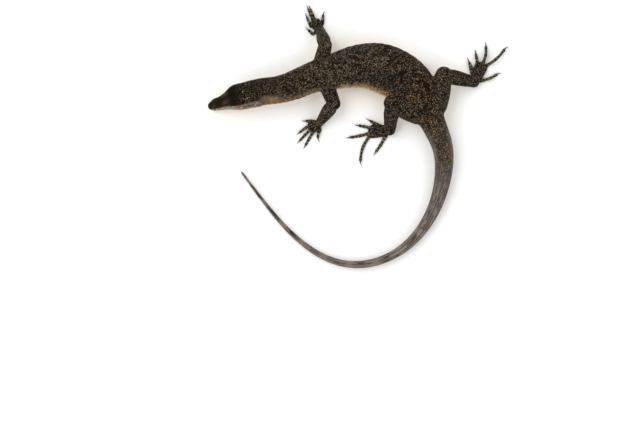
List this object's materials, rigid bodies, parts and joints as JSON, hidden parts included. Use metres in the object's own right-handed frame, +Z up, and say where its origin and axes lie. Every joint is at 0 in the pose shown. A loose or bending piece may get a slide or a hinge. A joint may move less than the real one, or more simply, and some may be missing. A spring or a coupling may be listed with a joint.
{
  "type": "water monitor lizard",
  "caption": "Life-size still model of a water monitor lizard, low on its belly in mid-stride, trunk bent to one side, long tail swept round in a hook.",
  "frame": {"origin": "centre of the bounding box in plan, on the floor the animal lies on", "axes": "+Z up from the floor; the snout points toward -X, the animal's right side is toward +Y"},
  "size_m": [0.6047, 0.5294, 0.0744],
  "materials": {
    "head_hide": "small dark polygonal scales, satin",
    "jaw_hide": "pale scales with dark bars, satin",
    "trunk_hide": "fine dark scales with small golden specks, satin",
    "tail_hide": "keeled grey-brown scales in rings, satin",
    "leg_hide": "dark granular scales with pale specks, satin",
    "claw_horn": "smooth dark horn",
    "eye": "wet, orange-brown iris round a dark pupil"
  },
  "bodies": {
    "root": {"head": "head_hide", "lower_jaw": "jaw_hide", "eye_left": "eye", "eye_right": "eye", "neck": "trunk_hide", "chest": "trunk_hide", "belly": "trunk_hide", "hips": "trunk_hide", "tail_1": "tail_hide", "tail_2": "tail_hide", "tail_3": "tail_hide", "tail_4": "tail_hide", "tail_5": "tail_hide", "upper_arm_left": "leg_hide", "forearm_left": "leg_hide", "hand_left": "leg_hide", "thigh_left": "leg_hide", "shank_left": "leg_hide", "foot_left": "leg_hide", "claw_hand_left_1": "claw_horn", "claw_hand_left_2": "claw_horn", "claw_hand_left_3": "claw_horn", "claw_hand_left_4": "claw_horn", "claw_hand_left_5": "claw_horn", "claw_foot_left_1": "claw_horn", "claw_foot_left_2": "claw_horn", "claw_foot_left_3": "claw_horn", "claw_foot_left_4": "claw_horn", "claw_foot_left_5": "claw_horn", "upper_arm_right": "leg_hide", "forearm_right": "leg_hide", "hand_right": "leg_hide", "thigh_right": "leg_hide", "shank_right": "leg_hide", "foot_right": "leg_hide", "claw_hand_right_1": "claw_horn", "claw_hand_right_2": "claw_horn", "claw_hand_right_3": "claw_horn", "claw_hand_right_4": "claw_horn", "claw_hand_right_5": "claw_horn", "claw_foot_right_1": "claw_horn", "claw_foot_right_2": "claw_horn", "claw_foot_right_3": "claw_horn", "claw_foot_right_4": "claw_horn", "claw_foot_right_5": "claw_horn"}
  },
  "joints": []
}
